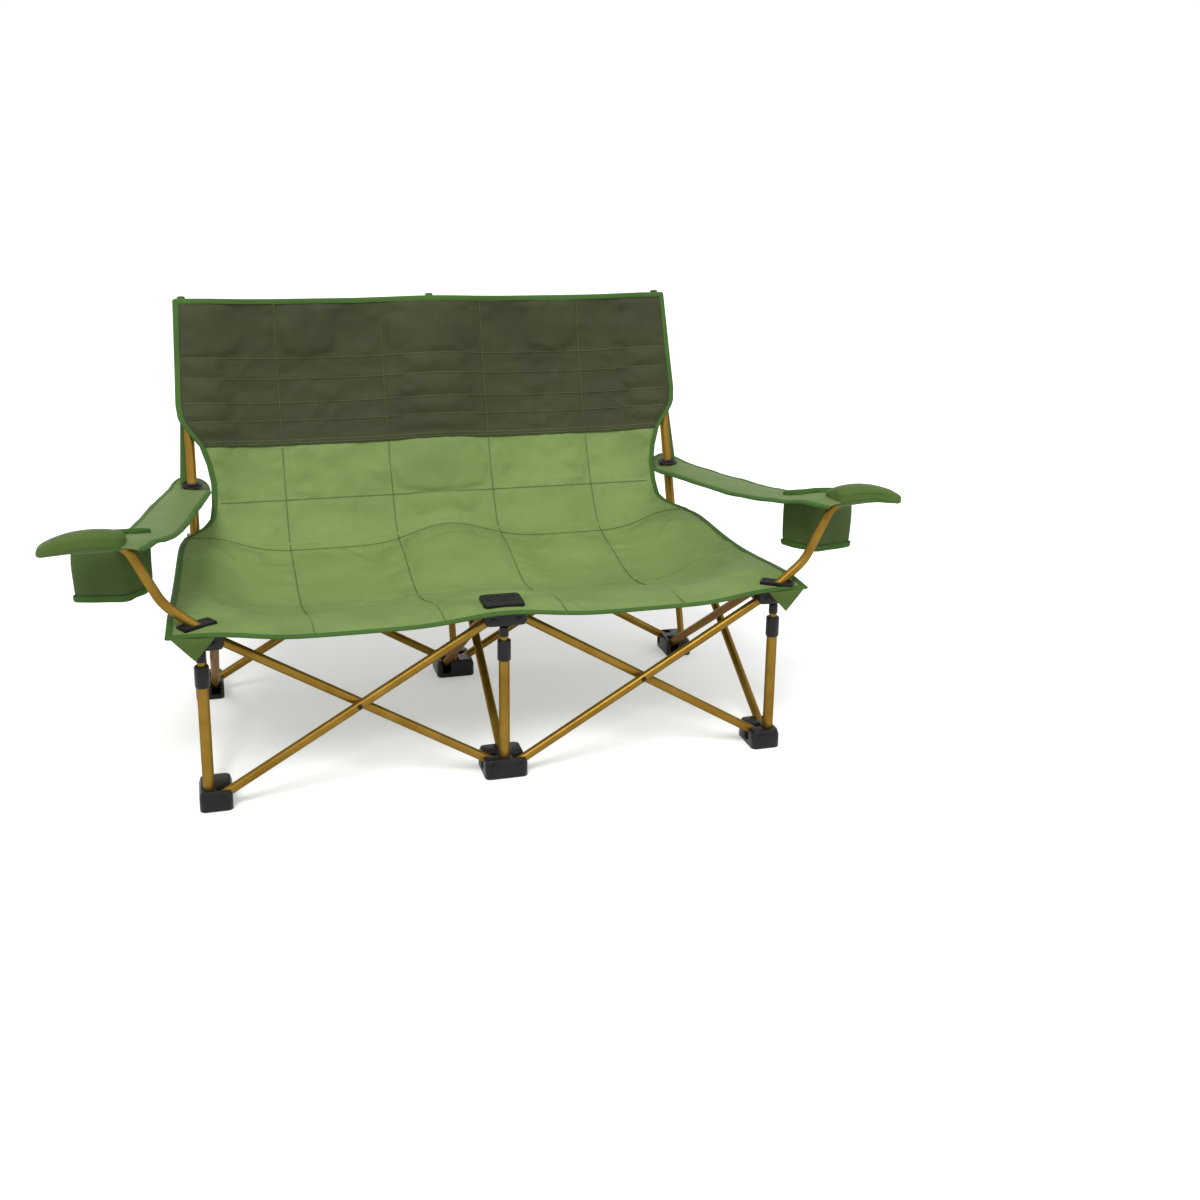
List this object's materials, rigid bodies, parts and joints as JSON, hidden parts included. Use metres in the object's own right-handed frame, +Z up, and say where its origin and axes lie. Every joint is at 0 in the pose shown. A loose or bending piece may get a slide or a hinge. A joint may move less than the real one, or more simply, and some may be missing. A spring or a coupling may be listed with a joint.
{
  "type": "folding camping loveseat",
  "caption": "Folding camping loveseat: scissor-braced tube frame, telescoping front posts, leaning uprights, quilted cloth sling, cloth armrests with cup pockets.",
  "frame": {"origin": "on the floor, under the middle of the open chair's box", "axes": "+X to the right of a front view, -Y the way a sitter faces, +Z up"},
  "size_m": [1.458, 0.7906, 0.7588],
  "materials": {
    "frame_bronze": "satin",
    "rod_steel": "satin",
    "moulded_black": "matte",
    "cloth_green": "woven",
    "cloth_olive": "woven"
  },
  "bodies": {
    "base": {"foot_front_center": "moulded_black", "post_front_center": "frame_bronze", "post_collar_front_center": "moulded_black"},
    "foot_fl": {"foot_front_left": "moulded_black", "post_front_left": "frame_bronze", "post_collar_front_left": "moulded_black"},
    "foot_fr": {"foot_front_right": "moulded_black", "post_front_right": "frame_bronze", "post_collar_front_right": "moulded_black"},
    "arm_l": {"arm_tube_left": "frame_bronze", "armrest_left": "cloth_green", "cup_pocket_left": "cloth_green"},
    "arm_r": {"arm_tube_right": "frame_bronze", "armrest_right": "cloth_green", "cup_pocket_right": "cloth_green"},
    "brace_fl": {"front_brace_left": "frame_bronze"},
    "brace_fr": {"front_brace_right": "frame_bronze"},
    "hub_fl": {"hub_front_left": "moulded_black", "post_rod_front_left": "rod_steel", "seat_patch_left": "moulded_black"},
    "hub_fc": {"hub_front_center": "moulded_black", "post_rod_front_center": "rod_steel", "seat_plate_center": "moulded_black"},
    "hub_fr": {"hub_front_right": "moulded_black", "post_rod_front_right": "rod_steel", "seat_patch_right": "moulded_black"},
    "stage_fl": {"post_stage_front_left": "frame_bronze", "stage_collar_front_left": "moulded_black"},
    "stage_fc": {"post_stage_front_center": "frame_bronze", "stage_collar_front_center": "moulded_black"},
    "stage_fr": {"post_stage_front_right": "frame_bronze", "stage_collar_front_right": "moulded_black"},
    "side_front_l": {"side_brace_front_left": "frame_bronze"},
    "side_rear_l": {"side_brace_rear_left": "frame_bronze"},
    "hub_rl": {"hub_rear_left": "moulded_black"},
    "foot_rl": {"foot_rear_left": "moulded_black"},
    "stem_l": {"upright_stem_left": "frame_bronze"},
    "upright_l": {"upright_tube_left": "frame_bronze", "arm_eyelet_left": "moulded_black"},
    "side_front_c": {"side_brace_front_center": "frame_bronze"},
    "side_rear_c": {"side_brace_rear_center": "frame_bronze"},
    "hub_rc": {"hub_rear_center": "moulded_black"},
    "foot_rc": {"foot_rear_center": "moulded_black"},
    "stem_c": {"upright_stem_center": "frame_bronze"},
    "upright_c": {"upright_tube_center": "frame_bronze", "back_panel": "cloth_olive"},
    "side_front_r": {"side_brace_front_right": "frame_bronze"},
    "side_rear_r": {"side_brace_rear_right": "frame_bronze"},
    "hub_rr": {"hub_rear_right": "moulded_black"},
    "foot_rr": {"foot_rear_right": "moulded_black"},
    "stem_r": {"upright_stem_right": "frame_bronze"},
    "upright_r": {"upright_tube_right": "frame_bronze", "arm_eyelet_right": "moulded_black"},
    "rear_corner_l": {"rear_brace_corner_left": "frame_bronze"},
    "rear_center_l": {"rear_brace_center_left": "frame_bronze"},
    "rear_corner_r": {"rear_brace_corner_right": "frame_bronze"},
    "rear_center_r": {"rear_brace_center_right": "frame_bronze"},
    "seat_front": {"seat_panel_front": "cloth_green"},
    "seat_rear": {"seat_panel_rear": "cloth_green"}
  },
  "joints": [
    {"name": "fold", "type": "hinge", "parent": "base", "child": "arm_l", "pos_m": [-0.0225, -0.34278, 0.024], "axis": [0, 1, 0], "range_deg": [0, 49], "deforming": ["seat_panel_front", "seat_panel_rear", "back_panel", "armrest_left", "armrest_right"]},
    {"name": "arm_right_turn", "type": "hinge", "parent": "base", "child": "arm_r", "pos_m": [0.0225, -0.35978, 0.024], "axis": [0, 1, 0], "range_deg": [-49, 0]},
    {"name": "brace_left_cross", "type": "hinge", "parent": "arm_l", "child": "brace_fl", "pos_m": [-0.25, -0.35128, 0.159], "axis": [0, 1, 0], "range_deg": [-98, 0]},
    {"name": "brace_right_cross", "type": "hinge", "parent": "arm_r", "child": "brace_fr", "pos_m": [0.25, -0.35128, 0.159], "axis": [0, 1, 0], "range_deg": [0, 98]},
    {"name": "foot_front_left_turn", "type": "hinge", "parent": "brace_fl", "child": "foot_fl", "pos_m": [-0.4775, -0.35978, 0.024], "axis": [0, 1, 0], "range_deg": [0, 49]},
    {"name": "foot_front_right_turn", "type": "hinge", "parent": "brace_fr", "child": "foot_fr", "pos_m": [0.4775, -0.34278, 0.024], "axis": [0, 1, 0], "range_deg": [-49, 0]},
    {"name": "hub_front_center_turn", "type": "hinge", "parent": "brace_fl", "child": "hub_fc", "pos_m": [-0.0225, -0.35978, 0.294], "axis": [0, 1, 0], "range_deg": [0, 49]},
    {"name": "hub_front_left_turn", "type": "hinge", "parent": "arm_l", "child": "hub_fl", "pos_m": [-0.4775, -0.34278, 0.294], "axis": [0, 1, 0], "range_deg": [-49, 0]},
    {"name": "hub_front_right_turn", "type": "hinge", "parent": "arm_r", "child": "hub_fr", "pos_m": [0.4775, -0.35978, 0.294], "axis": [0, 1, 0], "range_deg": [0, 49]},
    {"name": "post_stage_left_slide", "type": "slide", "parent": "foot_fl", "child": "stage_fl", "axis": [0, 0, 1], "range_m": [0, 0.1255]},
    {"name": "side_front_left_turn", "type": "hinge", "parent": "foot_fl", "child": "side_front_l", "pos_m": [-0.5, -0.31628, 0.024], "axis": [1, 0, 0], "range_deg": [0, 49]},
    {"name": "side_left_cross", "type": "hinge", "parent": "side_front_l", "child": "side_rear_l", "pos_m": [-0.489, -0.08878, 0.159], "axis": [1, 0, 0], "range_deg": [-98, 0]},
    {"name": "hub_rear_left_turn", "type": "hinge", "parent": "side_front_l", "child": "hub_rl", "pos_m": [-0.5, 0.13872, 0.294], "axis": [1, 0, 0], "range_deg": [-49, 0]},
    {"name": "foot_rear_left_turn", "type": "hinge", "parent": "side_rear_l", "child": "foot_rl", "pos_m": [-0.478, 0.13872, 0.024], "axis": [1, 0, 0], "range_deg": [0, 49]},
    {"name": "upright_left_turn", "type": "hinge", "parent": "foot_rl", "child": "stem_l", "pos_m": [-0.5, 0.13272, 0.024], "axis": [1, 0, 0], "range_deg": [0, 8.96]},
    {"name": "upright_left_slide", "type": "slide", "parent": "stem_l", "child": "upright_l", "axis": [0, 0.3289, 0.9444], "range_m": [0, 0.2435]},
    {"name": "post_stage_center_slide", "type": "slide", "parent": "base", "child": "stage_fc", "axis": [0, 0, 1], "range_m": [0, 0.1255]},
    {"name": "side_front_center_turn", "type": "hinge", "parent": "base", "child": "side_front_c", "pos_m": [0.0025, -0.31628, 0.024], "axis": [1, 0, 0], "range_deg": [0, 49]},
    {"name": "side_center_cross", "type": "hinge", "parent": "side_front_c", "child": "side_rear_c", "pos_m": [-0.0085, -0.08878, 0.159], "axis": [1, 0, 0], "range_deg": [-98, 0]},
    {"name": "hub_rear_center_turn", "type": "hinge", "parent": "side_front_c", "child": "hub_rc", "pos_m": [0.0025, 0.13872, 0.294], "axis": [1, 0, 0], "range_deg": [-49, 0]},
    {"name": "foot_rear_center_turn", "type": "hinge", "parent": "side_rear_c", "child": "foot_rc", "pos_m": [-0.0195, 0.13872, 0.024], "axis": [1, 0, 0], "range_deg": [0, 49]},
    {"name": "upright_center_turn", "type": "hinge", "parent": "foot_rc", "child": "stem_c", "pos_m": [0, 0.13272, 0.024], "axis": [1, 0, 0], "range_deg": [0, 8.96]},
    {"name": "upright_center_slide", "type": "slide", "parent": "stem_c", "child": "upright_c", "axis": [0, 0.3289, 0.9444], "range_m": [0, 0.2435]},
    {"name": "post_stage_right_slide", "type": "slide", "parent": "foot_fr", "child": "stage_fr", "axis": [0, 0, 1], "range_m": [0, 0.1255]},
    {"name": "side_front_right_turn", "type": "hinge", "parent": "foot_fr", "child": "side_front_r", "pos_m": [0.5, -0.31628, 0.024], "axis": [1, 0, 0], "range_deg": [0, 49]},
    {"name": "side_right_cross", "type": "hinge", "parent": "side_front_r", "child": "side_rear_r", "pos_m": [0.489, -0.08878, 0.159], "axis": [1, 0, 0], "range_deg": [-98, 0]},
    {"name": "hub_rear_right_turn", "type": "hinge", "parent": "side_front_r", "child": "hub_rr", "pos_m": [0.5, 0.13872, 0.294], "axis": [1, 0, 0], "range_deg": [-49, 0]},
    {"name": "foot_rear_right_turn", "type": "hinge", "parent": "side_rear_r", "child": "foot_rr", "pos_m": [0.478, 0.13872, 0.024], "axis": [1, 0, 0], "range_deg": [0, 49]},
    {"name": "upright_right_turn", "type": "hinge", "parent": "foot_rr", "child": "stem_r", "pos_m": [0.5, 0.13272, 0.024], "axis": [1, 0, 0], "range_deg": [0, 8.96]},
    {"name": "upright_right_slide", "type": "slide", "parent": "stem_r", "child": "upright_r", "axis": [0, 0.3289, 0.9444], "range_m": [0, 0.2435]},
    {"name": "rear_corner_left_turn", "type": "hinge", "parent": "foot_rl", "child": "rear_corner_l", "pos_m": [-0.4775, 0.16172, 0.024], "axis": [0, 1, 0], "range_deg": [-49, 0]},
    {"name": "rear_center_left_turn", "type": "hinge", "parent": "foot_rc", "child": "rear_center_l", "pos_m": [-0.0225, 0.17872, 0.024], "axis": [0, 1, 0], "range_deg": [0, 49]},
    {"name": "rear_corner_right_turn", "type": "hinge", "parent": "foot_rr", "child": "rear_corner_r", "pos_m": [0.4775, 0.17872, 0.024], "axis": [0, 1, 0], "range_deg": [0, 49]},
    {"name": "rear_center_right_turn", "type": "hinge", "parent": "foot_rc", "child": "rear_center_r", "pos_m": [0.0225, 0.16172, 0.024], "axis": [0, 1, 0], "range_deg": [-49, 0]},
    {"name": "seat_front_turn", "type": "hinge", "parent": "hub_fc", "child": "seat_front", "pos_m": [0, -0.36528, 0.3145], "axis": [1, 0, 0], "range_deg": [0, 69.58]},
    {"name": "seat_rear_turn", "type": "hinge", "parent": "hub_rc", "child": "seat_rear", "pos_m": [0, 0.20872, 0.3145], "axis": [1, 0, 0], "range_deg": [-69.58, 0]}
  ],
  "couplings": [
    {"joint": "arm_right_turn", "follows": "fold", "ratio": -1},
    {"joint": "brace_left_cross", "follows": "fold", "ratio": -2},
    {"joint": "brace_right_cross", "follows": "fold", "ratio": 2},
    {"joint": "foot_front_left_turn", "follows": "fold", "ratio": 1},
    {"joint": "foot_front_right_turn", "follows": "fold", "ratio": -1},
    {"joint": "hub_front_center_turn", "follows": "fold", "ratio": 1},
    {"joint": "hub_front_left_turn", "follows": "fold", "ratio": -1},
    {"joint": "hub_front_right_turn", "follows": "fold", "ratio": 1},
    {"joint": "post_stage_left_slide", "follows": "fold", "m_per_rad": 0.14616},
    {"joint": "side_front_left_turn", "follows": "fold", "ratio": 1},
    {"joint": "side_left_cross", "follows": "fold", "ratio": -2},
    {"joint": "hub_rear_left_turn", "follows": "fold", "ratio": -1},
    {"joint": "foot_rear_left_turn", "follows": "fold", "ratio": 1},
    {"joint": "upright_left_turn", "follows": "fold", "ratio": 0.18286},
    {"joint": "upright_left_slide", "follows": "fold", "m_per_rad": 0.28414},
    {"joint": "post_stage_center_slide", "follows": "fold", "m_per_rad": 0.14616},
    {"joint": "side_front_center_turn", "follows": "fold", "ratio": 1},
    {"joint": "side_center_cross", "follows": "fold", "ratio": -2},
    {"joint": "hub_rear_center_turn", "follows": "fold", "ratio": -1},
    {"joint": "foot_rear_center_turn", "follows": "fold", "ratio": 1},
    {"joint": "upright_center_turn", "follows": "fold", "ratio": 0.18286},
    {"joint": "upright_center_slide", "follows": "fold", "m_per_rad": 0.28414},
    {"joint": "post_stage_right_slide", "follows": "fold", "m_per_rad": 0.14616},
    {"joint": "side_front_right_turn", "follows": "fold", "ratio": 1},
    {"joint": "side_right_cross", "follows": "fold", "ratio": -2},
    {"joint": "hub_rear_right_turn", "follows": "fold", "ratio": -1},
    {"joint": "foot_rear_right_turn", "follows": "fold", "ratio": 1},
    {"joint": "upright_right_turn", "follows": "fold", "ratio": 0.18286},
    {"joint": "upright_right_slide", "follows": "fold", "m_per_rad": 0.28414},
    {"joint": "rear_corner_left_turn", "follows": "fold", "ratio": -1},
    {"joint": "rear_center_left_turn", "follows": "fold", "ratio": 1},
    {"joint": "rear_corner_right_turn", "follows": "fold", "ratio": 1},
    {"joint": "rear_center_right_turn", "follows": "fold", "ratio": -1},
    {"joint": "seat_front_turn", "follows": "fold", "ratio": 1.42},
    {"joint": "seat_rear_turn", "follows": "fold", "ratio": -1.42}
  ]
}
